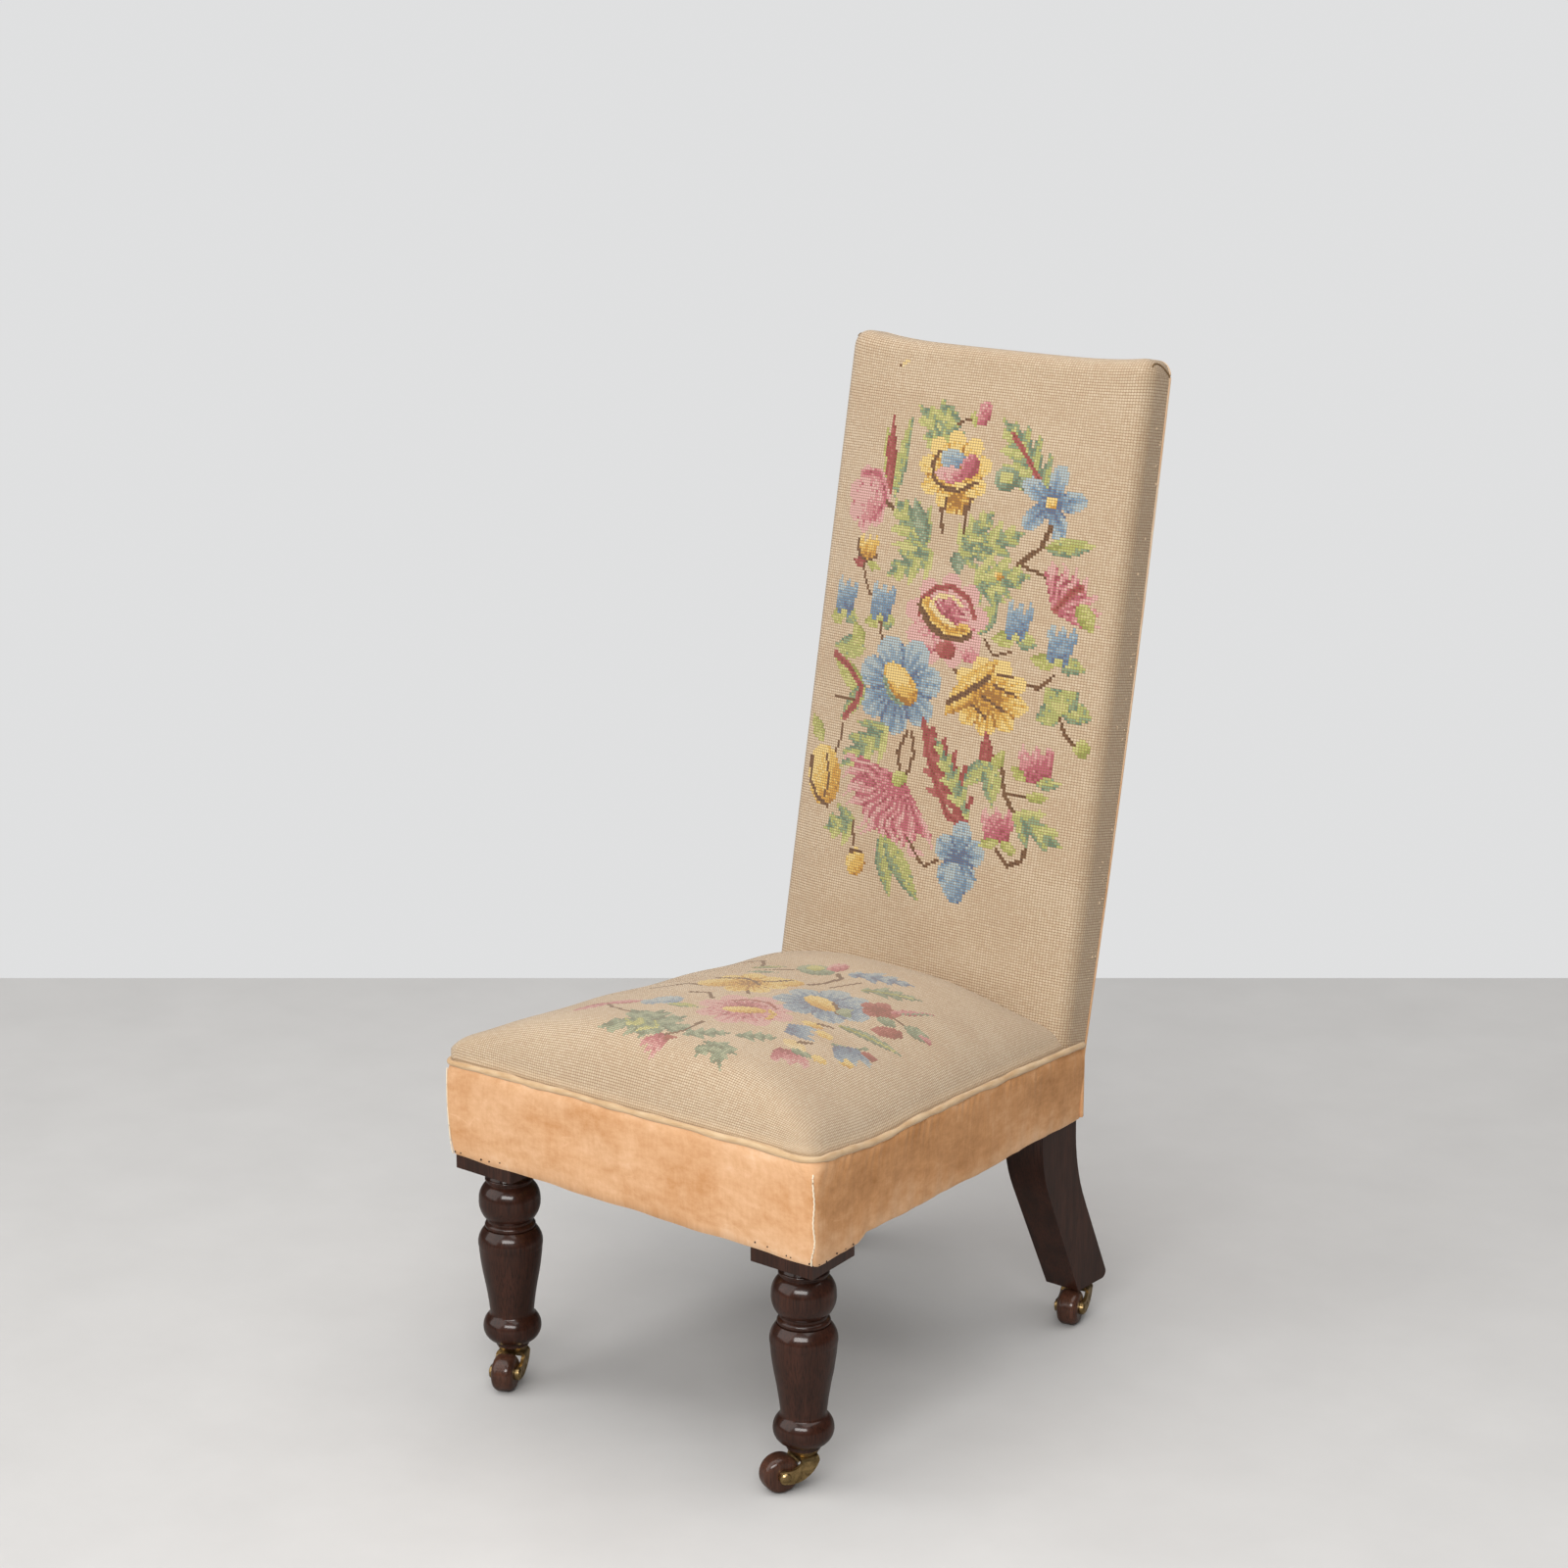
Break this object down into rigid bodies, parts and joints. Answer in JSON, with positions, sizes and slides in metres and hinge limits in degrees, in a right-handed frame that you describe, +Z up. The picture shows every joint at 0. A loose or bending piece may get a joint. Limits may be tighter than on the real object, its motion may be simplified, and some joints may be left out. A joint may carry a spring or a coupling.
{
  "type": "nursing chair",
  "caption": "Low upholstered nursing chair with a raked needlework back and domed seat, velvet border, turned front legs, sabre rear legs and brass castors.",
  "frame": {"origin": "on the floor, under the middle of the chair's bounding box", "axes": "+Z up, +X to the right as seen from the front, +Y towards the back; the chair faces -Y"},
  "size_m": [0.43, 0.592, 0.94],
  "materials": {
    "frame_wood": "plain beech, unfinished",
    "polished_wood": "dark mahogany, french polished",
    "needlework": "beige wool needlework with flowers",
    "velvet": "worn apricot velvet",
    "welt_cloth": "beige woven cloth over a cord",
    "stuffing": "hair and cotton wadding",
    "jute": "woven jute",
    "bottom_cloth": "thin black cloth",
    "steel": "dull steel",
    "brass": "aged brass",
    "wheel_wood": "dark brown turned wood, worn"
  },
  "bodies": {
    "chair": {"front_seat_rail": "frame_wood", "rear_seat_rail": "frame_wood", "left_seat_rail": "frame_wood", "right_seat_rail": "frame_wood", "corner_braces": "frame_wood", "back_top_rail": "frame_wood", "back_lower_rail": "frame_wood", "frame_dowels": "frame_wood", "left_front_leg": "polished_wood", "right_front_leg": "polished_wood", "left_rear_post": "polished_wood", "right_rear_post": "polished_wood", "seat_cover": "needlework", "back_cover": "needlework", "seat_border_front": "velvet", "seat_border_left": "velvet", "seat_border_right": "velvet", "outside_back": "velvet", "back_piping": "velvet", "seat_piping": "welt_cloth", "seat_stuffing": "stuffing", "back_stuffing": "stuffing", "seat_webbing": "jute", "back_webbing": "jute", "spring_hessian": "jute", "back_hessian": "jute", "dust_cover": "bottom_cloth", "brace_screws": "steel", "bottom_tacks": "steel", "seat_springs": "steel", "left_front_castor_mount": "brass", "left_rear_castor_mount": "brass", "right_front_castor_mount": "brass", "right_rear_castor_mount": "brass"},
    "left_front_castor_fork": {"left_front_castor_horn": "brass", "left_front_castor_axle": "brass"},
    "left_front_castor_roller": {"left_front_castor_wheel": "wheel_wood"},
    "left_rear_castor_fork": {"left_rear_castor_horn": "brass", "left_rear_castor_axle": "brass"},
    "left_rear_castor_roller": {"left_rear_castor_wheel": "wheel_wood"},
    "right_front_castor_fork": {"right_front_castor_horn": "brass", "right_front_castor_axle": "brass"},
    "right_front_castor_roller": {"right_front_castor_wheel": "wheel_wood"},
    "right_rear_castor_fork": {"right_rear_castor_horn": "brass", "right_rear_castor_axle": "brass"},
    "right_rear_castor_roller": {"right_rear_castor_wheel": "wheel_wood"}
  },
  "joints": [
    {"name": "left_front_castor_swivel", "type": "hinge", "parent": "chair", "child": "left_front_castor_fork", "pos_m": [-0.17593, -0.25634, 0.0305], "axis": [0, 0, 1], "continuous": true},
    {"name": "left_front_castor_roll", "type": "hinge", "parent": "left_front_castor_fork", "child": "left_front_castor_roller", "pos_m": [-0.16564, -0.27802, 0.0175], "axis": [0.9033, 0.4289, 0], "continuous": true},
    {"name": "left_rear_castor_swivel", "type": "hinge", "parent": "chair", "child": "left_rear_castor_fork", "pos_m": [-0.15319, 0.20579, 0.0305], "axis": [0, 0, 1], "continuous": true},
    {"name": "left_rear_castor_roll", "type": "hinge", "parent": "left_rear_castor_fork", "child": "left_rear_castor_roller", "pos_m": [-0.15653, 0.18202, 0.0175], "axis": [0.9903, -0.1392, 0], "continuous": true},
    {"name": "right_front_castor_swivel", "type": "hinge", "parent": "chair", "child": "right_front_castor_fork", "pos_m": [0.17593, -0.25634, 0.0305], "axis": [0, 0, 1], "continuous": true},
    {"name": "right_front_castor_roll", "type": "hinge", "parent": "right_front_castor_fork", "child": "right_front_castor_roller", "pos_m": [0.16609, -0.27823, 0.0175], "axis": [0.9121, -0.4099, 0], "continuous": true},
    {"name": "right_rear_castor_swivel", "type": "hinge", "parent": "chair", "child": "right_rear_castor_fork", "pos_m": [0.15319, 0.20579, 0.0305], "axis": [0, 0, 1], "continuous": true},
    {"name": "right_rear_castor_roll", "type": "hinge", "parent": "right_rear_castor_fork", "child": "right_rear_castor_roller", "pos_m": [0.16104, 0.18311, 0.0175], "axis": [0.9449, 0.3272, 0], "continuous": true}
  ]
}
